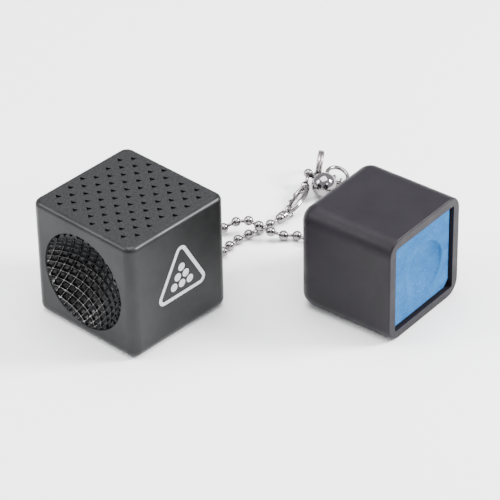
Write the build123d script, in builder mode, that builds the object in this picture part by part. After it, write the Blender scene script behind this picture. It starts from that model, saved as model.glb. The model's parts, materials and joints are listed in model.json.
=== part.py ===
"""Billiards cue-care set: a metal tip shaper cube and a chalk holder cube on one ball chain.

Frame: +Z up, origin at the centre of the shaper cube's base, bowl face towards -X,
marked face towards -Y, eye face towards +X. Everything lies on the plane Z = 0. Units: mm.
"""
import math
import os

from build123d import *

os.makedirs("parts", exist_ok=True)

# ---------------------------------------------------------------- driving dimensions
BLOCK_X = 30.6             # shaper cube, across the marked face
BLOCK_Y = 31.4             # shaper cube, across the bowl face
BLOCK_H = 30.2
BLOCK_EDGE = 2.4           # upright edges
BLOCK_TOP_EDGE = 1.3
BLOCK_BASE_EDGE = 2.2
BOWL_SPHERE = 13.6         # radius of the tip-shaping bowl's sphere
BOWL_MOUTH = 12.1          # radius of the bowl's mouth on the face
SCUFF_PITCH = 3.1          # spacing of the pits in the scuffer face
SCUFF_TURN = -38.0         # degrees that the grid of pits is turned on the face
SCUFF_REACH = 13.5         # the furthest pit from the face's centre lines
SCUFF_PIT = 0.88           # corner radius of one pit
SCUFF_DEPTH = 0.5
EYE_MEAN = 2.55            # screw eye: mean radius of its loop
EYE_WIRE = 0.65            # screw eye: wire radius
EYE_REACH = 4.3            # face to loop centre
EYE_THREAD = 1.25          # thread radius
EYE_Z = 15.5               # height of the shaper's eye

HOLDER_W = 27.2            # chalk holder, across and high
HOLDER_D = 26.0            # chalk holder, open end to closed end
HOLDER_EDGE = 4.0
HOLDER_RIM = 0.45
HOLDER_FLOOR = 2.8         # wall at the closed end
HOLDER_AT = (39.9, -39.9)  # centre on the base plane
HOLDER_TURN = 4.75         # degrees the open end turns from -Y towards +X
CHALK = 22.0               # a standard chalk cube
CHALK_RECESS = 0.8         # chalk face behind the rim
CHALK_GAP = 0.06           # between label and cavity
LABEL = 0.14               # paper label
DIMPLE_SPHERE = 17.0       # worn dimple in the chalk
DIMPLE_DEPTH = 1.5
DIMPLE_AT = (1.0, -0.9)    # from the chalk's middle
MAGNET_R = 5.0             # steel disc in the closed end
MAGNET_T = 0.9

BEAD = 2.4                 # ball chain: ball diameter
CORD_R = BEAD / 2
BALL_R = 3.1               # swivel ball
SPLIT_MEAN = 3.45          # split ring: mean radius
SPLIT_WIRE = 0.4           # split ring: wire radius of one turn
JUMP_MEAN = 2.6            # jump ring: mean radius
JUMP_WIRE = 0.5

COUPLING_R = 1.3           # sleeve on each end of the chain
COUPLING_L = 1.6
COUPLING_NECK = 0.15
COUPLING_WIRE = 0.28
LOOP_A = 1.35              # mean radius of the loop at the clasp
LOOP_B = 1.0               # and at the jump ring
CLASP_W = 4.4              # lobster clasp, across
CLASP_T = 1.4              # and thick
CLASP_ROLL = 28.0          # degrees about its length, -Y side up
CLASP_HOLE = 0.66          # hole for the swivel's eye
GATE_T = 0.5
GATE_SLOT = 0.95
GATE_PIN = 0.24
HEAD_R = 1.15              # small ball on the swivel's post
HEAD_EYE_MEAN = 1.2
HEAD_EYE_WIRE = 0.3
POST_R = 0.6
SPLIT_LUG_MEAN = 1.35      # the two small loops on the swivel ball
JUMP_LUG_MEAN = 1.45
LUG_WIRE = 0.32

# ---------------------------------------------------------------- places of the hardware
BALL_AT = Vector(63.5, -2.4, 3.2)
HEAD_AT = Vector(63.9, 3.1, 4.0)
HEAD_EYE_AT = Vector(60.07, 0.59, 2.95)
CLASP_LOW = Vector(50.6, -2.5, 1.6)
CLASP_TOP = Vector(60.4, 0.7, 3.0)
SPLIT_AT = Vector(68.3, 3.4, 3.95)
SPLIT_AXIS = Vector(0.596, -0.792, -0.129)
SPLIT_LUG = Vector(65.7, 1.35, 3.1)
JUMP_AT = Vector(70.15, -0.85, 2.1)
JUMP_AXIS = Vector(0.05, -0.338, 0.94)
JUMP_LUG_DIR = Vector(0.919, 0.263, -0.294)
JUMP_LUG_AXIS = Vector(0.166, -0.934, -0.316)


def plane_at(centre, normal, x_dir=None):
    """A plane with this centre and normal."""
    if x_dir is None:
        x_dir = normal.cross(Vector(0, 0, 1))
        if x_dir.length < 1e-6:
            x_dir = Vector(1, 0, 0)
    return Plane(origin=centre, x_dir=x_dir, z_dir=normal)


def save(builder, name):
    """Label one finished sub-part and write its STEP file."""
    builder.part.label = name
    export_step(builder.part, f"parts/{name}.step")


# ---------------------------------------------------------------- shaper cube
steps = range(-6, 7)
grid = [Location((i * SCUFF_PITCH, j * SCUFF_PITCH)) for i in steps for j in steps]
turned = [Location((0, 0), SCUFF_TURN) * spot for spot in grid]
pits = [t for t in turned if max(abs(t.position.X), abs(t.position.Y)) < SCUFF_REACH]

with BuildPart() as shaper_block:
    with Locations((0, 0, BLOCK_H / 2)):
        Box(BLOCK_X, BLOCK_Y, BLOCK_H)
    fillet(shaper_block.edges().filter_by(Axis.Z), radius=BLOCK_EDGE)
    fillet(shaper_block.faces().sort_by(Axis.Z)[-1].edges(), radius=BLOCK_TOP_EDGE)
    fillet(shaper_block.faces().sort_by(Axis.Z)[0].edges(), radius=BLOCK_BASE_EDGE)
    # the concave shaping bowl in the -X face
    bowl_inset = math.sqrt(BOWL_SPHERE**2 - BOWL_MOUTH**2)
    with Locations((-BLOCK_X / 2 - bowl_inset, 0, BLOCK_H / 2 - 0.3)):
        Sphere(BOWL_SPHERE, rotation=(0, 0, 180), mode=Mode.SUBTRACT)
    # the grid of small triangular pits in the scuffer face
    with BuildSketch(Plane.XY.offset(BLOCK_H)):
        with Locations(pits):
            RegularPolygon(SCUFF_PIT, 3)
    extrude(amount=-SCUFF_DEPTH, mode=Mode.SUBTRACT)
    # blind threaded hole for the screw eye
    with BuildSketch(Plane.YZ.offset(BLOCK_X / 2)):
        with Locations((0, EYE_Z)):
            Circle(EYE_THREAD)
    extrude(amount=-5.0, mode=Mode.SUBTRACT)
save(shaper_block, "shaper_block")


def screw_eye_pieces(name, face_centre, outward, loop_axis, thread_length):
    """A screw eye with its flange washer: loop, shank and thread standing out of a face."""
    shank_plane = plane_at(face_centre, outward, loop_axis)
    loop_centre = face_centre + outward * EYE_REACH
    with BuildPart() as eye:
        with BuildSketch(shank_plane.offset(-thread_length)):
            Circle(EYE_THREAD)
        extrude(amount=thread_length + 0.3)
        with BuildSketch(shank_plane.offset(0.3)):
            Circle(0.85)
        extrude(amount=EYE_REACH - EYE_MEAN - 0.3)
        with Locations(plane_at(loop_centre, loop_axis, outward)):
            Torus(EYE_MEAN, EYE_WIRE)
    save(eye, f"{name}_eye")
    with BuildPart() as washer:
        with BuildSketch(shank_plane):
            Circle(2.5)
            Circle(EYE_THREAD, mode=Mode.SUBTRACT)
        extrude(amount=0.5)
        rims = washer.edges().filter_by(GeomType.CIRCLE).group_by(SortBy.RADIUS)[-1]
        fillet(rims, radius=0.15)
    save(washer, f"{name}_washer")


screw_eye_pieces("shaper", Vector(BLOCK_X / 2, 0, EYE_Z), Vector(1, 0, 0), Vector(0, 1, 0), 4.6)

# ---------------------------------------------------------------- chalk holder
turn = math.radians(HOLDER_TURN)
opening = Vector(math.sin(turn), -math.cos(turn), 0)      # the way the open end looks
side = Vector(math.cos(turn), math.sin(turn), 0)
holder_mid = Vector(HOLDER_AT[0], HOLDER_AT[1], HOLDER_W / 2)
open_plane = Plane(origin=holder_mid + opening * (HOLDER_D / 2), x_dir=side, z_dir=opening)
closed_centre = holder_mid - opening * (HOLDER_D / 2)
CAVITY = CHALK + 2 * (LABEL + CHALK_GAP)

with BuildPart() as holder_shell:
    with BuildSketch(open_plane):
        RectangleRounded(HOLDER_W, HOLDER_W, HOLDER_EDGE)
    extrude(amount=-HOLDER_D)
    closed_edges = holder_shell.faces().sort_by(Axis(closed_centre, -opening))[-1].edges()
    fillet(closed_edges, radius=HOLDER_EDGE - 0.3)
    rim_edges = holder_shell.faces().sort_by(Axis(closed_centre, opening))[-1].edges()
    fillet(rim_edges, radius=HOLDER_RIM)
    with BuildSketch(open_plane):
        RectangleRounded(CAVITY, CAVITY, 0.5)
    extrude(amount=-(HOLDER_D - HOLDER_FLOOR), mode=Mode.SUBTRACT)
    # recess for the steel disc, and the hole for the screw eye
    with BuildSketch(open_plane.offset(-(HOLDER_D - HOLDER_FLOOR))):
        Circle(MAGNET_R + 0.05)
    extrude(amount=-MAGNET_T, mode=Mode.SUBTRACT)
    with BuildSketch(open_plane.offset(-HOLDER_D)):
        Circle(EYE_THREAD)
    extrude(amount=HOLDER_FLOOR, mode=Mode.SUBTRACT)
save(holder_shell, "holder_shell")

screw_eye_pieces(
    "holder",
    closed_centre,
    -opening,
    Vector(0, 0, 1),
    HOLDER_FLOOR - MAGNET_T - 0.1,
)

with BuildPart() as holder_disc:
    with BuildSketch(open_plane.offset(-(HOLDER_D - HOLDER_FLOOR))):
        Circle(MAGNET_R)
    extrude(amount=-(MAGNET_T - 0.05))
save(holder_disc, "holder_disc")

# ---------------------------------------------------------------- chalk and its label
chalk_front = open_plane.offset(-CHALK_RECESS)
with BuildPart() as chalk:
    with BuildSketch(chalk_front):
        RectangleRounded(CHALK, CHALK, 0.35)
    extrude(amount=-CHALK)
    dimple_from = (*DIMPLE_AT, DIMPLE_SPHERE - DIMPLE_DEPTH)
    with Locations(Plane(chalk_front.from_local_coords(dimple_from), z_dir=opening)):
        Sphere(DIMPLE_SPHERE, mode=Mode.SUBTRACT)
save(chalk, "chalk")

with BuildPart() as chalk_label:
    with BuildSketch(chalk_front.offset(-0.6)):
        RectangleRounded(CHALK + 2 * LABEL, CHALK + 2 * LABEL, 0.35 + LABEL)
        RectangleRounded(CHALK, CHALK, 0.35, mode=Mode.SUBTRACT)
    extrude(amount=-(CHALK - 1.6))
save(chalk_label, "chalk_label")

# ---------------------------------------------------------------- ball chain
# The route of the chain, from the clasp through both eyes to the jump ring.
ROUTE = [
    (47.96, -2.4, 1.47), (43.5, -2.3, 1.2), (38.4, -1.2, 1.2), (33.2, -0.5, 1.2),
    (28.0, -2.0, 1.2), (22.8, -3.5, 4.2), (20.1, -3.5, 9.8), (19.7, -2.4, 15.2),
    (19.7, 2.4, 15.2), (20.1, 3.5, 9.8), (22.9, 4.3, 4.2), (28.4, 5.2, 1.2),
    (34.4, 5.4, 1.2), (39.6, 1.8, 3.9), (39.2, -4.6, 4.0), (42.2, -7.4, 1.3),
    (46.2, -10.9, 1.2), (44.6, -16.4, 1.2), (39.6, -20.2, 1.6), (38.4, -22.6, 6.4),
    (38.4, -22.6, 16.4), (43.3, -22.4, 16.3), (43.9, -21.9, 10.4), (45.8, -20.2, 4.6),
    (50.4, -17.2, 1.2), (55.4, -14.4, 1.2), (62.6, -10.46, 1.36), (67.144, -5.223, 1.364),
]
points = [Vector(*p) for p in ROUTE]


def corner_radius(before, corner, after):
    """The largest arc that the two runs at a corner leave room for."""
    shorter = min((corner - before).length, (after - corner).length)
    half_turn = math.radians((corner - before).get_angle(after - corner)) / 2
    return 0.45 * shorter / math.tan(half_turn)


radii = [corner_radius(*points[i - 1:i + 2]) for i in range(1, len(points) - 1)]
print("chain radii:", [round(r, 1) for r in radii])
with BuildLine() as chain_line:
    FilletPolyline(*points, radius=radii)
chain_wire = chain_line.wire()
print("chain length:", round(chain_wire.length, 1))

with BuildPart() as ball_chain:
    add(chain_line)
    with BuildSketch(Plane(origin=points[0], z_dir=points[1] - points[0])):
        Circle(CORD_R)
    sweep(path=chain_wire)
save(ball_chain, "ball_chain")
print("chain volume over section x length:",
      round(ball_chain.part.volume / (math.pi * CORD_R**2 * chain_wire.length), 4))


def chain_coupling(name, chain_end, along, loop, ring_centre, ring_axis):
    """The sleeve that grips a chain's last ball, with a small loop beyond it."""
    sleeve = Plane(origin=chain_end, z_dir=along)
    with BuildPart() as coupling:
        with BuildSketch(sleeve):
            Circle(COUPLING_R)
        extrude(amount=COUPLING_L)
        fillet(coupling.edges().filter_by(GeomType.CIRCLE), radius=0.35)
        with BuildSketch(sleeve.offset(COUPLING_L - 0.2)):
            Circle(COUPLING_WIRE)
        extrude(amount=COUPLING_NECK + 0.2)
        with Locations(plane_at(ring_centre, ring_axis, along)):
            Torus(loop, COUPLING_WIRE)
    save(coupling, name)


clasp_dir = (CLASP_TOP - CLASP_LOW).normalized()
flat_side = clasp_dir.cross(Vector(0, 0, 1)).normalized()
clasp_mid = (CLASP_LOW + CLASP_TOP) * 0.5
roll = math.radians(CLASP_ROLL)
clasp_up = flat_side.cross(clasp_dir) * math.cos(roll) - flat_side * math.sin(roll)
clasp_plane = Plane(origin=clasp_mid, x_dir=clasp_dir, z_dir=clasp_up)
CLASP_L = (CLASP_TOP - CLASP_LOW).length
WINDOW_MID = -1.0          # the clasp's window, along its length
WINDOW_L = 6.5
WINDOW_W = 2.3
GATE_FROM = -3.1
GATE_TO = 2.1
PIN_AT = (1.55, 1.42)
HOLE_AT = 3.83

chain_coupling(
    "coupling_a",
    points[0],
    (points[0] - points[1]).normalized(),
    LOOP_A,
    clasp_plane.from_local_coords(Vector(0.5 - CLASP_L / 2, 0, 0)),
    clasp_plane.y_dir,
)

# ---------------------------------------------------------------- lobster clasp


def clasp_outline():
    """The clasp's oval frame with its window."""
    Ellipse(CLASP_L / 2, CLASP_W / 2)
    with Locations((WINDOW_MID, 0)):
        SlotOverall(WINDOW_L, WINDOW_W, mode=Mode.SUBTRACT)


GATE_MID = (GATE_FROM + GATE_TO) / 2
GATE_LEN = GATE_TO - GATE_FROM
with BuildPart() as clasp_body:
    with BuildSketch(clasp_plane.offset(-CLASP_T / 2)):
        clasp_outline()
        with Locations((HOLE_AT, 0)):
            Circle(CLASP_HOLE, mode=Mode.SUBTRACT)
        with Locations(((GATE_FROM + PIN_AT[0] - 0.9) / 2, CLASP_W / 2)):
            Rectangle(PIN_AT[0] - 0.9 - GATE_FROM, CLASP_W, mode=Mode.SUBTRACT)
    extrude(amount=CLASP_T)
    with BuildSketch(clasp_plane.offset(-GATE_SLOT / 2)):
        with Locations((GATE_MID + 0.3, CLASP_W / 2 + 0.3)):
            Rectangle(GATE_LEN + 0.9, CLASP_W - 0.4)
    extrude(amount=GATE_SLOT, mode=Mode.SUBTRACT)
    with BuildSketch(clasp_plane.offset(-CLASP_T / 2)):
        with Locations(PIN_AT):
            Circle(GATE_PIN)
    extrude(amount=CLASP_T, mode=Mode.SUBTRACT)
save(clasp_body, "clasp_body")

with BuildPart() as clasp_gate:
    with BuildSketch(clasp_plane.offset(-GATE_SLOT / 2 + 0.04)):
        with BuildLine():
            Spline((GATE_FROM + 0.12, 1.62), (-1.0, 1.95), (PIN_AT[0] + 0.55, 1.62))
            Line((PIN_AT[0] + 0.55, 1.62), (PIN_AT[0] + 0.45, 0.98))
            Spline((PIN_AT[0] + 0.45, 0.98), (-1.0, 1.28), (GATE_FROM + 0.3, 1.0))
            Line((GATE_FROM + 0.3, 1.0), (GATE_FROM + 0.12, 1.62))
        make_face()
        with Locations((0.1, 2.2)):
            Circle(0.5)
        with Locations(PIN_AT):
            Circle(GATE_PIN + 0.04, mode=Mode.SUBTRACT)
    extrude(amount=GATE_T)
save(clasp_gate, "clasp_gate")

with BuildPart() as clasp_pin:
    with BuildSketch(clasp_plane.offset(-CLASP_T / 2 - 0.08)):
        with Locations(PIN_AT):
            Circle(GATE_PIN - 0.01)
    extrude(amount=CLASP_T + 0.16)
save(clasp_pin, "clasp_pin")

pin_point = clasp_plane.from_local_coords(Vector(PIN_AT[0], PIN_AT[1], 0.27))
with BuildPart() as clasp_spring:
    with Locations(plane_at(pin_point, clasp_plane.z_dir, clasp_dir)):
        Torus(0.38, 0.11)
save(clasp_spring, "clasp_spring")
print("gate pivot:", pin_point, "axis:", clasp_plane.z_dir)

# ---------------------------------------------------------------- swivel
post_dir = (BALL_AT - HEAD_AT).normalized()
eye_dir = (HEAD_EYE_AT - HEAD_AT).normalized()
with BuildPart() as swivel_head:
    with Locations(HEAD_AT):
        Sphere(HEAD_R)
    with BuildSketch(Plane(origin=HEAD_AT, z_dir=eye_dir)):
        Circle(0.45)
    extrude(amount=(HEAD_EYE_AT - HEAD_AT).length - HEAD_EYE_MEAN)
    with Locations(plane_at(HEAD_EYE_AT, clasp_plane.y_dir, clasp_dir)):
        Torus(HEAD_EYE_MEAN, HEAD_EYE_WIRE)
    with BuildSketch(Plane(origin=HEAD_AT, z_dir=post_dir)):
        Circle(POST_R)
    extrude(amount=(BALL_AT - HEAD_AT).length + BALL_R - 0.4)
save(swivel_head, "swivel_head")

jump_lug_at = BALL_AT + JUMP_LUG_DIR * (BALL_R - 0.1 + JUMP_LUG_MEAN)
with BuildPart() as swivel_ball:
    with Locations(BALL_AT):
        Sphere(BALL_R)
    with BuildSketch(Plane(origin=BALL_AT, z_dir=post_dir)):
        Circle(POST_R + 0.05)
    extrude(amount=BALL_R + 1, both=True, mode=Mode.SUBTRACT)
    with Locations(plane_at(SPLIT_LUG, Vector(0, 0, 1))):
        Torus(SPLIT_LUG_MEAN, LUG_WIRE)
    with Locations(plane_at(jump_lug_at, JUMP_LUG_AXIS, JUMP_LUG_DIR)):
        Torus(JUMP_LUG_MEAN, LUG_WIRE)
save(swivel_ball, "swivel_ball")

# ---------------------------------------------------------------- rings
split_plane = plane_at(SPLIT_AT, SPLIT_AXIS)
with BuildPart() as split_ring:
    with Locations(split_plane.offset(-SPLIT_WIRE), split_plane.offset(SPLIT_WIRE)):
        Torus(SPLIT_MEAN, SPLIT_WIRE * 1.06)
save(split_ring, "split_ring")

with BuildPart() as jump_ring:
    with Locations(plane_at(JUMP_AT, JUMP_AXIS)):
        Torus(JUMP_MEAN, JUMP_WIRE)
save(jump_ring, "jump_ring")

last_run = (points[-1] - points[-2]).normalized()
chain_coupling(
    "coupling_b",
    points[-1],
    last_run,
    LOOP_B,
    points[-1] + last_run * (COUPLING_L + COUPLING_NECK + LOOP_B),
    last_run.cross(Vector(0, 0, 1)),
)
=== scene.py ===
"""Looks of the cue-care set: a metal shaper cube and a chalk holder on one ball chain.

Metres, in the CAD's row frame. The camera looks down on the corner between the shaper
cube's bowl face (-X) and its marked face (-Y).
"""
import json
import math

import bmesh
import bpy
from mathutils import Matrix, Vector, noise


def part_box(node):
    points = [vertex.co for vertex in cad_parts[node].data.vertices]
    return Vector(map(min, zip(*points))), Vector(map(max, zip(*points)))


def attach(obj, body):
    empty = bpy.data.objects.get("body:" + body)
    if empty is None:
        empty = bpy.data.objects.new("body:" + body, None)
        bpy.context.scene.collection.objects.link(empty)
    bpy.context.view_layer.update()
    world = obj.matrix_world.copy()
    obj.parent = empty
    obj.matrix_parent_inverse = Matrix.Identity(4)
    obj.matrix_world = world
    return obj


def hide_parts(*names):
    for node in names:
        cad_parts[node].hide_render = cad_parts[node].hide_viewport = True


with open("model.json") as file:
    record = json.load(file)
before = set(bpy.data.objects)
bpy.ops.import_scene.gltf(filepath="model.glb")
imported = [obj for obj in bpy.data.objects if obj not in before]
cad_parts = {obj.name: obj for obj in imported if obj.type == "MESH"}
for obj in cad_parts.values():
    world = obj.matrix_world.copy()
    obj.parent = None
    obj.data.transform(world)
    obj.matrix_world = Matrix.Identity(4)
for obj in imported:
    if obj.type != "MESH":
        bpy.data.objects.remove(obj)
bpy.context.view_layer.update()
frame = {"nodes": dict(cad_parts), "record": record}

MM = 0.001

BEAD_PITCH = 3.3 * MM
PIN_RADIUS = 0.42 * MM
BOWL_SPHERE = 13.6 * MM
BOWL_MOUTH = 12.1 * MM
TOOTH_PITCH = 2.05 * MM
TOOTH_HEIGHT = 0.7 * MM
GRID_TURN = math.radians(24)
DIMPLE_SPHERE = 17.0 * MM
DIMPLE_DEPTH = 1.5 * MM
DIMPLE_AT = (1.0 * MM, -0.9 * MM)
HOLDER_TURN = math.radians(4.75)
TOP_BAND = 0.6 * MM         # the blasted face lies in this much of the block's height
LEVEL = 0.985               # normals with a larger Z are counted as lying flat
TEETH_ACROSS = 190          # points across the bowl's grid
CHALK_ACROSS = 110          # squares across the chalk's face
END_MARGIN = 0.3 * MM       # chain's end to its first ball

# the chain's route, from the clasp through both eyes to the jump ring (mm)
ROUTE = [
    (47.96, -2.4, 1.47), (43.5, -2.3, 1.2), (38.4, -1.2, 1.2), (33.2, -0.5, 1.2),
    (28.0, -2.0, 1.2), (22.8, -3.5, 4.2), (20.1, -3.5, 9.8), (19.7, -2.4, 15.2),
    (19.7, 2.4, 15.2), (20.1, 3.5, 9.8), (22.9, 4.3, 4.2), (28.4, 5.2, 1.2),
    (34.4, 5.4, 1.2), (39.6, 1.8, 3.9), (39.2, -4.6, 4.0), (42.2, -7.4, 1.3),
    (46.2, -10.9, 1.2), (44.6, -16.4, 1.2), (39.6, -20.2, 1.6), (38.4, -22.6, 6.4),
    (38.4, -22.6, 16.4), (43.3, -22.4, 16.3), (43.9, -21.9, 10.4), (45.8, -20.2, 4.6),
    (50.4, -17.2, 1.2), (55.4, -14.4, 1.2), (62.6, -10.46, 1.36), (67.144, -5.223, 1.364),
]
ROUTE_M = [Vector(p) * MM for p in ROUTE]


# ---------------------------------------------------------------- shader helpers
class Shader:
    """A Principled material with short calls for its nodes."""

    def __init__(self, name, roughness, metallic=0.0):
        self.material = bpy.data.materials.new(name)
        self.material.use_nodes = True
        self.nodes = self.material.node_tree.nodes
        self.links = self.material.node_tree.links
        self.bsdf = self.nodes["Principled BSDF"]
        self.bsdf.inputs["Metallic"].default_value = metallic
        self.bsdf.inputs["Roughness"].default_value = roughness
        self.place = self.nodes.new("ShaderNodeTexCoord").outputs["Object"]

    def noise(self, size, detail=4.0, roughness=0.6, stretch=(1, 1, 1)):
        """Noise whose features are about `size` metres across."""
        mapping = self.nodes.new("ShaderNodeMapping")
        mapping.inputs["Scale"].default_value = stretch
        self.links.new(self.place, mapping.inputs["Vector"])
        texture = self.nodes.new("ShaderNodeTexNoise")
        texture.inputs["Scale"].default_value = 1 / size
        texture.inputs["Detail"].default_value = detail
        texture.inputs["Roughness"].default_value = roughness
        self.links.new(mapping.outputs["Vector"], texture.inputs["Vector"])
        return texture.outputs["Fac"]

    def ramp(self, value, low, high, start=0.35, end=0.65):
        """`value` mapped from `low` to `high` (colours or single values)."""
        node = self.nodes.new("ShaderNodeValToRGB")
        for element, at, colour in zip(node.color_ramp.elements, (start, end), (low, high)):
            element.position = at
            element.color = (*colour, 1) if isinstance(colour, tuple) else (colour,) * 3 + (1,)
        self.links.new(value, node.inputs["Fac"])
        return node.outputs["Color"]

    def mix(self, factor, one, other):
        """A colour between `one` and `other`."""
        node = self.nodes.new("ShaderNodeMixRGB")
        self.links.new(factor, node.inputs["Fac"])
        for socket, value in (("Color1", one), ("Color2", other)):
            if isinstance(value, tuple):
                node.inputs[socket].default_value = (*value, 1)
            else:
                self.links.new(value, node.inputs[socket])
        return node.outputs["Color"]

    def math(self, operation, one, other):
        """A math node on `one` and `other`; `other` is a socket or a number."""
        node = self.nodes.new("ShaderNodeMath")
        node.operation = operation
        self.links.new(one, node.inputs[0])
        if isinstance(other, float):
            node.inputs[1].default_value = other
        else:
            self.links.new(other, node.inputs[1])
        return node.outputs["Value"]

    def height(self, vector):
        """The Z of a vector."""
        node = self.nodes.new("ShaderNodeSeparateXYZ")
        self.links.new(vector, node.inputs["Vector"])
        return node.outputs["Z"]

    def bump(self, height, distance, strength=1.0):
        """Relief `distance` metres deep."""
        node = self.nodes.new("ShaderNodeBump")
        node.inputs["Strength"].default_value = strength
        node.inputs["Distance"].default_value = distance
        self.links.new(height, node.inputs["Height"])
        self.links.new(node.outputs["Normal"], self.bsdf.inputs["Normal"])

    def set(self, socket, value):
        self.links.new(value, self.bsdf.inputs[socket])


def gunmetal():
    """Satin anodised metal with a blasted top."""
    s = Shader("anodised_metal", 0.33, metallic=0.85)
    _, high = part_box("shaper_block")
    on_top = s.math("GREATER_THAN", s.height(s.place), high[2] - TOP_BAND)
    normal = s.nodes.new("ShaderNodeTexCoord").outputs["Normal"]
    level = s.math("GREATER_THAN", s.height(normal), LEVEL)
    blasted = s.math("MULTIPLY", on_top, level)
    cloud = s.noise(9 * MM)
    base = s.ramp(cloud, (0.019, 0.0193, 0.0196), (0.026, 0.026, 0.027))
    grit = s.ramp(s.noise(0.45 * MM, detail=6), (0.018, 0.018, 0.019), (0.04, 0.04, 0.042))
    s.set("Base Color", s.mix(blasted, base, grit))
    satin = s.ramp(s.noise(4 * MM), 0.36, 0.42)
    s.set("Roughness", s.mix(blasted, satin, (0.62, 0.62, 0.62)))
    fine = s.ramp(s.noise(0.22 * MM, detail=2), 0.46, 0.54)
    coarse = s.noise(0.4 * MM, detail=5)
    s.bump(s.mix(blasted, fine, coarse), 0.02 * MM, 0.7)
    return s.material


def scuffer_metal():
    """The same metal, blasted coarser inside the bowl, with lighter crests: worn bare metal,
    brightened towards the lower left by painted light.
    """
    s = Shader("bowl_metal", 0.3, metallic=0.9)
    crest_wear_and_light = s.nodes.new("ShaderNodeAttribute")
    crest_wear_and_light.attribute_name = "crest_wear_and_light"
    # lighter crests: worn bare metal, with painted light brightening the lower left of the bowl
    crest_wear_and_light_mix = s.ramp(crest_wear_and_light.outputs["Fac"], 0.0, 1.0, 0.55, 0.9)
    s.set("Base Color", s.mix(crest_wear_and_light_mix, (0.022, 0.022, 0.023), (0.42, 0.41, 0.40)))
    s.set("Roughness", s.ramp(s.noise(1.0 * MM), 0.24, 0.4))
    s.bump(s.noise(0.2 * MM, detail=2), 0.012 * MM, 0.6)
    return s.material


def bright_plate(name, colour, low, high, grain):
    """Nickel or chrome plate with faint handling marks."""
    s = Shader(name, low, metallic=1.0)
    s.set("Base Color", s.ramp(s.noise(3 * MM), colour, tuple(c * 0.93 for c in colour)))
    s.set("Roughness", s.ramp(s.noise(1.2 * MM, detail=6), low, high))
    s.bump(s.noise(grain, detail=3, stretch=(1, 1, 0.3)), 0.002 * MM, 0.25)
    return s.material


def holder_plastic():
    """Dark satin plastic with a very fine moulded texture."""
    s = Shader("holder_plastic", 0.42)
    s.bsdf.inputs["Specular IOR Level"].default_value = 0.14
    cloud = s.noise(12 * MM)
    s.set("Base Color", s.ramp(cloud, (0.009, 0.0075, 0.010), (0.012, 0.0102, 0.0135)))
    s.set("Roughness", s.ramp(s.noise(4 * MM), 0.38, 0.48))
    s.bump(s.noise(0.25 * MM, detail=2), 0.01 * MM, 0.6)
    return s.material


def chalk_powder():
    """Pressed blue chalk: dry, mottled and dusty, with dark grains."""
    s = Shader("chalk_powder", 0.95)
    s.bsdf.inputs["Specular IOR Level"].default_value = 0.05
    mottle = s.ramp(s.noise(4 * MM, detail=8), (0.018, 0.088, 0.235), (0.03, 0.12, 0.29))
    dust = s.ramp(s.noise(0.5 * MM, detail=5), 0.0, 1.0, 0.55, 0.8)
    s.set("Base Color", s.mix(dust, mottle, (0.06, 0.18, 0.37)))
    s.set("Roughness", s.ramp(s.noise(1 * MM), 0.9, 1.0))
    s.bump(s.noise(0.35 * MM, detail=8, roughness=0.75), 0.07 * MM, 0.9)
    return s.material


def label_paper():
    """Dark blue wrapper paper, fibrous and rubbed."""
    s = Shader("label_paper", 0.7)
    s.set("Base Color", s.ramp(s.noise(1.5 * MM), (0.012, 0.025, 0.07), (0.03, 0.05, 0.12)))
    s.set("Roughness", s.ramp(s.noise(0.8 * MM), 0.6, 0.8))
    s.bump(s.noise(0.3 * MM, stretch=(1, 1, 0.2)), 0.01 * MM, 0.6)
    return s.material


def silver_print():
    """Silver marking ink on the metal."""
    s = Shader("silver_print", 0.5, metallic=0.35)
    s.set("Base Color", s.ramp(s.noise(0.6 * MM), (0.42, 0.41, 0.45), (0.56, 0.55, 0.6)))
    s.set("Roughness", s.ramp(s.noise(0.4 * MM), 0.45, 0.6))
    s.bump(s.noise(0.15 * MM), 0.005 * MM, 0.5)
    return s.material


LOOKS = {
    "anodised_metal": gunmetal(),
    "holder_plastic": holder_plastic(),
    "chalk": chalk_powder(),
    "label": label_paper(),
    "nickel": bright_plate("nickel_plate", (0.25, 0.235, 0.235), 0.14, 0.24, 0.4 * MM),
    "chrome": bright_plate("chrome_plate", (0.24, 0.225, 0.232), 0.07, 0.13, 0.5 * MM),
    "steel": bright_plate("drawn_steel", (0.30, 0.27, 0.27), 0.2, 0.32, 0.3 * MM),
}
BOWL_METAL = scuffer_metal()
PRINT = silver_print()


def dress(piece, material):
    """One material on the whole piece."""
    piece.data.materials.clear()
    piece.data.materials.append(material)


for entry in frame["record"]["subparts"]:
    dress(frame["nodes"][entry["node"]], LOOKS[entry["material_slot"]])


# ---------------------------------------------------------------- mesh helpers
def mesh_piece(name, vertices, faces, body, material, smooth=True):
    """A new piece in the row frame, riding on a CAD body."""
    mesh = bpy.data.meshes.new(name)
    mesh.from_pydata([tuple(v) for v in vertices], [], faces)
    mesh.validate()
    builder = bmesh.new()
    builder.from_mesh(mesh)
    bmesh.ops.recalc_face_normals(builder, faces=builder.faces)
    builder.to_mesh(mesh)
    builder.free()
    for polygon in mesh.polygons:
        polygon.use_smooth = smooth
    piece = bpy.data.objects.new(name, mesh)
    bpy.context.scene.collection.objects.link(piece)
    dress(piece, material)
    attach(piece, body)
    return piece


def lathe(centre, axis, profile, sides, vertices, faces):
    """Adds a closed turned shape: `profile` is (along the axis, radius)."""
    turn = Vector(axis).to_track_quat("Z", "Y").to_matrix()
    start = len(vertices)
    for along, radius in profile:
        for k in range(sides):
            a = 2 * math.pi * k / sides
            local = Vector((radius * math.cos(a), radius * math.sin(a), along))
            vertices.append(Vector(centre) + turn @ local)
    for i in range(len(profile) - 1):
        for k in range(sides):
            a = start + i * sides + k
            b = start + i * sides + (k + 1) % sides
            faces.append((a, b, b + sides, a + sides))
    faces.append(tuple(start + k for k in range(sides))[::-1])
    last = start + (len(profile) - 1) * sides
    faces.append(tuple(last + k for k in range(sides)))


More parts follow.
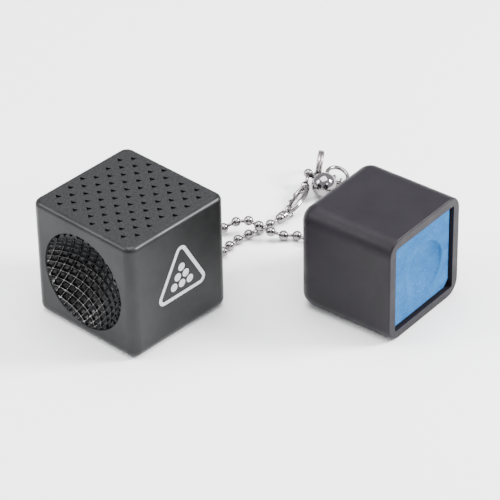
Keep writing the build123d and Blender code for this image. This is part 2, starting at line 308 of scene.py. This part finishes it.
# ---------------------------------------------------------------- shaping bowl's teeth
def bowl_teeth():
    """Rows of small pyramids over the inside of the bowl, with the ridges standing up."""
    low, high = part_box("shaper_block")
    inset = math.sqrt(BOWL_SPHERE**2 - BOWL_MOUTH**2)
    middle = Vector((low[0] - inset, (low[1] + high[1]) / 2, (low[2] + high[2]) / 2 - 0.3 * MM))
    count = TEETH_ACROSS
    step = 2 * BOWL_MOUTH / (count - 1)
    reach = BOWL_MOUTH - 0.05 * MM
    vertices = []
    crest_wear_and_light_values = []
    index = {}
    for i in range(count):
        for j in range(count):
            y = -BOWL_MOUTH + i * step
            z = -BOWL_MOUTH + j * step
            far = math.hypot(y, z)
            if far > reach:
                continue
            across = math.atan2(far, math.sqrt(BOWL_SPHERE**2 - far**2)) * BOWL_SPHERE
            scale = across / far if far else 1.0
            u = (y * math.cos(GRID_TURN) + z * math.sin(GRID_TURN)) * scale / TOOTH_PITCH
            v = (z * math.cos(GRID_TURN) - y * math.sin(GRID_TURN)) * scale / TOOTH_PITCH
            ridge = max(abs(u - round(u)), abs(v - round(v))) * 2
            rise = TOOTH_HEIGHT * max(0.0, (ridge - 0.3) / 0.7) ** 1.6
            depth = 0.02 * MM + rise
            out = Vector((math.sqrt(BOWL_SPHERE**2 - far**2), y, z)).normalized()
            place = middle + out * (BOWL_SPHERE - depth)
            place.x = max(place.x, low[0] + 0.005 * MM)
            index[i, j] = len(vertices)
            vertices.append(place)
            # painted light: the crests are made brighter towards the lower left of the bowl,
            # where the lamp falls on them
            painted_light_falloff = 0.6 + 0.4 * (y - z) / BOWL_MOUTH
            crest_wear_and_light_values.append(max(0.0, (ridge - 0.72) / 0.28) * min(1.0, max(0.25, painted_light_falloff)))
    faces = []
    for (i, j), a in index.items():
        corners = [index.get(k) for k in ((i + 1, j), (i + 1, j + 1), (i, j + 1))]
        if None not in corners:
            faces.append((a, *corners))
    piece = mesh_piece(
        "bowl_teeth", vertices, faces, "shaper", BOWL_METAL, smooth=False
    )
    # the attribute holds the worn, lighter crests, scaled by the painted light towards the lower
    # left
    crest_wear_and_light = piece.data.attributes.new("crest_wear_and_light", "FLOAT", "POINT")
    crest_wear_and_light.data.foreach_set("value", crest_wear_and_light_values)
    return piece


bowl_teeth()


# ---------------------------------------------------------------- silver mark
MARK_SIZE = 6.6 * MM        # centre to the middle of each corner's arc
MARK_OUTSIDE = 1.7 * MM     # corner radii of the printed band
MARK_INSIDE = 0.8 * MM
DOT_GAP = 2.55 * MM
DOT_RADIUS = 1.02 * MM
DOT_HOLE = 0.02 * MM        # a dot is a ring with a hole too small to see


def rack_mark():
    """A generic mark: a rack's rounded triangle round six dots, printed on the -Y face."""
    low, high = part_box("shaper_block")
    centre = Vector(((low[0] + high[0]) / 2 + 0.5 * MM, low[1] - 0.015 * MM, 15.5 * MM))
    vertices = []
    faces = []

    def flat(points_out, points_in):
        start = len(vertices)
        total = len(points_out)
        for x, z in points_out + points_in:
            vertices.append(centre + Vector((x, 0, z)))
        for k in range(total):
            n = (k + 1) % total
            faces.append((start + k, start + n, start + total + n, start + total + k))

    def rounded_triangle(size, radius):
        outline = []
        for corner in range(3):
            heading = math.radians(90 + 120 * corner)
            cx, cz = size * math.cos(heading), size * math.sin(heading)
            for k in range(9):
                a = heading + math.radians(-60 + 15 * k)
                outline.append((cx + radius * math.cos(a), cz + radius * math.sin(a)))
        return outline

    flat(rounded_triangle(MARK_SIZE, MARK_OUTSIDE), rounded_triangle(MARK_SIZE, MARK_INSIDE))
    for row in range(3):
        for k in range(row + 1):
            x = (k - row / 2) * DOT_GAP
            z = 2.6 * MM - row * DOT_GAP * math.sqrt(3) / 2
            ring = [math.radians(15 * n) for n in range(24)]
            disc = [(x + DOT_RADIUS * math.cos(a), z + DOT_RADIUS * math.sin(a)) for a in ring]
            hole = [(x + DOT_HOLE * math.cos(a), z + DOT_HOLE * math.sin(a)) for a in ring]
            flat(disc, hole)
    return mesh_piece("rack_mark", vertices, faces, "shaper", PRINT, smooth=False)


rack_mark()


# ---------------------------------------------------------------- chalk
def chalk_cube():
    """The chalk's front with its worn dimple, crumbled edges and powdery surface."""
    opening = Vector((math.sin(HOLDER_TURN), -math.cos(HOLDER_TURN), 0))
    side = Vector((math.cos(HOLDER_TURN), math.sin(HOLDER_TURN), 0))
    up = Vector((0, 0, 1))
    low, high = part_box("chalk")
    middle = (Vector(low) + Vector(high)) / 2
    half = (high[2] - low[2]) / 2
    count = CHALK_ACROSS

    def front(u, v):
        far = math.hypot(u - DIMPLE_AT[0], v - DIMPLE_AT[1])
        rim = math.sqrt(DIMPLE_SPHERE**2 - (DIMPLE_SPHERE - DIMPLE_DEPTH) ** 2)
        dip = 0.0
        if far < rim:
            dip = math.sqrt(DIMPLE_SPHERE**2 - far**2) - (DIMPLE_SPHERE - DIMPLE_DEPTH)
            dip += min(0.3 * MM, (rim - far) * 0.7)
        edge = half - max(abs(u), abs(v))
        corner = half * 2 - abs(u) - abs(v)
        crumble = max(0.0, 0.35 * MM - edge) * 0.9
        if u > 0 and v < 0:
            crumble += max(0.0, 2.4 * MM - corner) * 0.9
        spot = Vector((u, v, 0)) / MM
        rough = (noise.noise(spot * 0.9) * 0.5 + noise.noise(spot * 2.7) * 0.3) * 0.10 * MM
        return -(dip + crumble + abs(rough) + 0.02 * MM)

    vertices = []
    for i in range(count + 1):
        for j in range(count + 1):
            u = (2 * i / count - 1) * half
            v = (2 * j / count - 1) * half
            vertices.append(middle + side * u + up * v + opening * (half + front(u, v)))
    faces = []
    row = count + 1
    for i in range(count):
        for j in range(count):
            a = i * row + j
            faces.append((a, a + 1, a + row + 1, a + row))
    rim = [i * row for i in range(row)]
    rim += [count * row + j for j in range(1, row)]
    rim += [i * row + count for i in range(count - 1, -1, -1)]
    rim += list(range(count - 1, 0, -1))
    start = len(vertices)
    for k in rim:
        back = vertices[k] - opening * ((vertices[k] - middle).dot(opening) + half)
        vertices.append(back)
    total = len(rim)
    for k in range(total):
        n = (k + 1) % total
        faces.append((rim[k], rim[n], start + n, start + k))
    faces.append(tuple(start + k for k in range(total)))
    piece = mesh_piece("chalk_cube", vertices, faces, "chalk", LOOKS["chalk"])
    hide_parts("chalk")
    return piece


chalk_cube()


# ---------------------------------------------------------------- ball chain
def route_line():
    """The chain's centreline: points of the route's smooth curve, close together."""
    data = bpy.data.curves.new("route", "CURVE")
    data.dimensions = "3D"
    spline = data.splines.new("NURBS")
    spline.points.add(len(ROUTE_M) - 1)
    for point, place in zip(spline.points, ROUTE_M):
        point.co = (*place, 1)
    spline.order_u = 3
    spline.use_endpoint_u = True
    spline.resolution_u = 24
    curve = bpy.data.objects.new("route", data)
    bpy.context.scene.collection.objects.link(curve)
    bpy.context.view_layer.update()
    mesh = bpy.data.meshes.new_from_object(curve)
    line = [v.co.copy() for v in mesh.vertices]
    bpy.data.objects.remove(curve)
    bpy.data.meshes.remove(mesh)
    return line


def along_line(line, distance):
    """The point and direction at this distance along the line."""
    for a, b in zip(line, line[1:]):
        run = (b - a).length
        if distance <= run:
            return a.lerp(b, distance / run if run else 0), (b - a).normalized()
        distance -= run
    return line[-1], (line[-1] - line[-2]).normalized()


def ball_chain():
    """Hollow balls with rolled ends, on dumb-bell link pins."""
    line = route_line()
    length = sum((b - a).length for a, b in zip(line, line[1:]))
    count = round(length / BEAD_PITCH) + 1
    pitch = (length - 2 * END_MARGIN) / (count - 1)
    ball = [(-1.05, 0.42), (-1.12, 0.46)]
    ball += [
        (-1.2 * math.cos(math.radians(a)), 1.2 * math.sin(math.radians(a)))
        for a in range(26, 155, 8)
    ]
    ball += [(1.12, 0.46), (1.05, 0.42)]
    ball = [(along * MM, radius * MM) for along, radius in ball]
    vertices = []
    faces = []
    places = [along_line(line, END_MARGIN + k * pitch) for k in range(count)]
    for place, direction in places:
        lathe(place, direction, ball, 24, vertices, faces)
    for (a, _), (b, _) in zip(places, places[1:]):
        half = (b - a).length / 2
        pin = [(-half, PIN_RADIUS), (half, PIN_RADIUS)]
        lathe((a + b) / 2, b - a, pin, 10, vertices, faces)
    chain = mesh_piece("chain_balls", vertices, faces, "shaper", LOOKS["nickel"])
    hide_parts("ball_chain")
    return chain


ball_chain()


# ---------------------------------------------------------------- clasp, swivel and rings
BALL_AT = Vector((63.5, -2.4, 3.2)) * MM
BALL_RADIUS = 3.1 * MM
HEAD_AT = Vector((63.9, 3.1, 4.0)) * MM
HEAD_RADIUS = 1.15 * MM
HEAD_EYE_AT = Vector((60.07, 0.59, 2.95)) * MM
CLASP_LOW = Vector((50.6, -2.5, 1.6)) * MM
CLASP_TOP = Vector((60.4, 0.7, 3.0)) * MM
CLASP_ROLL = math.radians(28)
SPLIT_AT = Vector((68.3, 3.4, 3.95)) * MM
SPLIT_AXIS = Vector((0.596, -0.792, -0.129))
SPLIT_LUG = Vector((65.7, 1.35, 3.1)) * MM
JUMP_AT = Vector((70.15, -0.85, 2.1)) * MM
JUMP_AXIS = Vector((0.05, -0.338, 0.94))
JUMP_LUG_DIR = Vector((0.919, 0.263, -0.294))
JUMP_LUG_AXIS = Vector((0.166, -0.934, -0.316))
JUMP_LUG_REACH = 4.45 * MM  # ball's centre to the lug's
SPLIT_LUG_MEAN = 1.35 * MM
JUMP_LUG_MEAN = 1.45 * MM
LUG_WIRE = 0.32 * MM
POST_RADIUS = 0.6 * MM
HEAD_EYE_MEAN = 1.2 * MM
HEAD_EYE_WIRE = 0.3 * MM
CLASP_WIRE = 0.46 * MM
CLASP_LIFT = 0.2 * MM       # the frame is two wires this far either side of its middle
SPLIT_MEAN = 3.45 * MM
SPLIT_WIRE = 0.39 * MM
SPLIT_SHIFT = 0.4 * MM      # each turn's offset along the ring's axis
JUMP_MEAN = 2.6 * MM
JUMP_WIRE = 0.5 * MM


def tube(points, radius, closed, vertices, faces, sides=16):
    """Adds a round wire along these points, with domed ends where it isn't closed."""
    total = len(points)
    start = len(vertices)
    spin = None
    for i, place in enumerate(points):
        before = points[i - 1] if closed or i else place
        after = points[(i + 1) % total] if closed or i < total - 1 else place
        ahead = (after - before).normalized()
        if spin is None:
            spin = ahead.orthogonal().normalized()
        spin = (spin - ahead * spin.dot(ahead)).normalized()
        other = ahead.cross(spin)
        thin = 0.45 if not closed and i in (0, total - 1) else 1.0
        for k in range(sides):
            a = 2 * math.pi * k / sides
            vertices.append(place + (spin * math.cos(a) + other * math.sin(a)) * radius * thin)
    for i in range(total if closed else total - 1):
        here = start + i * sides
        there = start + (i + 1) % total * sides
        twist = 0
        if closed and i == total - 1:
            gaps = [(vertices[here] - vertices[there + k]).length for k in range(sides)]
            twist = gaps.index(min(gaps))
        for k in range(sides):
            n = (k + 1) % sides
            there_k, there_n = there + (k + twist) % sides, there + (n + twist) % sides
            faces.append((here + k, here + n, there_n, there_k))
    if not closed:
        faces.append(tuple(start + k for k in range(sides))[::-1])
        faces.append(tuple(start + (total - 1) * sides + k for k in range(sides)))


def circle(centre, axis, radius, count=48):
    """Points round a circle."""
    axis = axis.normalized()
    across = axis.orthogonal().normalized()
    other = axis.cross(across)
    turns = [2 * math.pi * k / count for k in range(count)]
    return [centre + (across * math.cos(a) + other * math.sin(a)) * radius for a in turns]


def ball(centre, axis, radius, vertices, faces):
    """Adds a smooth ball."""
    steps = [math.radians(a) for a in range(4, 180, 4)]
    profile = [(-radius * math.cos(a), radius * math.sin(a)) for a in steps]
    lathe(centre, axis, profile, 48, vertices, faces)


def swivel():
    """The ball with its two loops, and the small head with its post and eye."""
    post = (BALL_AT - HEAD_AT).normalized()
    vertices, faces = [], []
    ball(BALL_AT, post, BALL_RADIUS, vertices, faces)
    tube(circle(SPLIT_LUG, Vector((0, 0, 1)), SPLIT_LUG_MEAN), LUG_WIRE, True, vertices, faces)
    lug = BALL_AT + JUMP_LUG_DIR * JUMP_LUG_REACH
    tube(circle(lug, JUMP_LUG_AXIS, JUMP_LUG_MEAN), LUG_WIRE, True, vertices, faces)
    chrome = LOOKS["chrome"]
    piece = mesh_piece("swivel_ball_turned", vertices, faces, "shaper", chrome)
    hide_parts("swivel_ball")
    vertices, faces = [], []
    ball(HEAD_AT, post, HEAD_RADIUS, vertices, faces)
    far = (BALL_AT - HEAD_AT).length + BALL_RADIUS - 0.4 * MM
    stem = [(0.0, POST_RADIUS), (far - 0.1 * MM, POST_RADIUS), (far, 0.5 * MM)]
    lathe(HEAD_AT, post, stem, 24, vertices, faces)
    _, across, _ = clasp_axes()
    tube(circle(HEAD_EYE_AT, across, HEAD_EYE_MEAN), HEAD_EYE_WIRE, True, vertices, faces)
    reach = HEAD_EYE_AT - HEAD_AT
    stalk = [(0.0, 0.5 * MM), (reach.length - HEAD_EYE_MEAN, 0.4 * MM)]
    lathe(HEAD_AT, reach, stalk, 20, vertices, faces)
    piece = mesh_piece("swivel_head_turned", vertices, faces, "shaper", chrome)
    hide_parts("swivel_head")


def clasp_axes():
    """The clasp's directions: along it, across it and out of its flat."""
    along = (CLASP_TOP - CLASP_LOW).normalized()
    flat = along.cross(Vector((0, 0, 1))).normalized()
    out = flat.cross(along) * math.cos(CLASP_ROLL) - flat * math.sin(CLASP_ROLL)
    return along, out.cross(along), out


def clasp():
    """The clasp's long rounded frame with the gate's gap, a cross bar and an eye."""
    along, across, out = clasp_axes()
    middle = (CLASP_LOW + CLASP_TOP) / 2
    vertices, faces = [], []

    def spot(x, y):
        return middle + (along * x + across * y) * MM

    frame_line = []
    for k in range(73):
        a = math.radians(76 - k * 308 / 72)
        frame_line.append(spot(4.72 * math.cos(a), 1.68 * math.sin(a)))
    for lift in (-CLASP_LIFT, CLASP_LIFT):
        shifted = [p + out * lift for p in frame_line]
        tube(shifted, CLASP_WIRE, False, vertices, faces)
    tube([spot(2.75, -1.3), spot(2.75, 0), spot(2.75, 1.3)], 0.5 * MM, False, vertices, faces)
    tube(circle(spot(3.83, 0), out, 0.98 * MM), 0.34 * MM, True, vertices, faces)
    chrome = LOOKS["chrome"]
    piece = mesh_piece("clasp_frame", vertices, faces, "shaper", chrome)
    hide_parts("clasp_body")


def rings():
    """The split ring's two sprung turns with their ends, and the round jump ring."""
    axis = SPLIT_AXIS.normalized()
    level = axis.cross(Vector((0, 0, 1))).normalized()
    rise = axis.cross(level)
    points = []
    for k in range(141):
        turn = 2 * k / 140
        shift = min(1.0, max(-1.0, (turn - 1) / 0.05)) * SPLIT_SHIFT
        a = 2 * math.pi * turn * 0.985 + math.radians(235)
        arm = (level * math.cos(a) + rise * math.sin(a)) * SPLIT_MEAN
        points.append(SPLIT_AT + arm + axis * shift)
    vertices, faces = [], []
    tube(points, SPLIT_WIRE, False, vertices, faces)
    steel = LOOKS["steel"]
    piece = mesh_piece("split_ring_wire", vertices, faces, "split_ring", steel)
    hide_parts("split_ring")
    vertices, faces = [], []
    tube(circle(JUMP_AT, JUMP_AXIS, JUMP_MEAN, 72), JUMP_WIRE, True, vertices, faces)
    nickel = LOOKS["nickel"]
    piece = mesh_piece("jump_ring_wire", vertices, faces, "jump_ring", nickel)
    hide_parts("jump_ring")


swivel()
clasp()
rings()


# ---------------------------------------------------------------- floor, light, camera
def floor():
    """A plain pale floor that runs on out of sight."""
    bpy.ops.mesh.primitive_plane_add(size=6)
    plane = bpy.context.object
    plane.name = "floor"
    s = Shader("floor_paper", 0.8)
    s.set("Base Color", s.ramp(s.noise(0.3), (0.965, 0.965, 0.965), (0.975, 0.975, 0.975)))
    dress(plane, s.material)


def softbox(name, place, size, power, target=(0.03, -0.012, 0.012)):
    """A soft rectangular lamp that looks at the set."""
    data = bpy.data.lights.new(name, "AREA")
    data.shape = "RECTANGLE"
    data.size, data.size_y = size
    data.energy = power
    lamp = bpy.data.objects.new(name, data)
    lamp.location = place
    aim = Vector(target) - Vector(place)
    lamp.rotation_euler = aim.to_track_quat("-Z", "Y").to_euler()
    bpy.context.scene.collection.objects.link(lamp)


def camera():
    """The camera, looking down on the corner between the bowl and the marked face."""
    tilt = math.radians(34.631)
    roll = math.radians(-1.0587)
    heading = math.radians(46.55)
    look = Vector(
        (math.sin(heading) * math.cos(tilt), math.cos(heading) * math.cos(tilt), -math.sin(tilt))
    )
    right = Vector((math.cos(heading), -math.sin(heading), 0))
    up = right.cross(look)
    turned_right = right * math.cos(roll) + up * math.sin(roll)
    turned_up = up * math.cos(roll) - right * math.sin(roll)
    data = bpy.data.cameras.new("camera")
    data.lens = 209.7
    data.sensor_width = 36
    data.clip_start = 0.01
    eye = bpy.data.objects.new("camera", data)
    axes = Matrix((turned_right, turned_up, -look)).transposed().to_4x4()
    eye.matrix_world = Matrix.Translation((-0.37733, -0.39487, 0.39186)) @ axes
    bpy.context.scene.collection.objects.link(eye)
    bpy.context.scene.camera = eye


floor()
softbox("key", (0.5, -0.47, 0.48), (0.22, 0.22), 15.0)
softbox("fill", (-0.45, 0.42, 0.5), (0.35, 0.35), 5.0)
softbox("front", (-0.1, -0.75, 0.6), (0.2, 0.2), 1.2)
softbox("top", (0.05, 0.05, 0.9), (0.8, 0.8), 17.0)
camera()

world = bpy.data.worlds.new("studio")
bpy.context.scene.world = world
world.use_nodes = True
world.node_tree.nodes["Background"].inputs["Color"].default_value = (0.9, 0.92, 0.95, 1)
world.node_tree.nodes["Background"].inputs["Strength"].default_value = 1.0
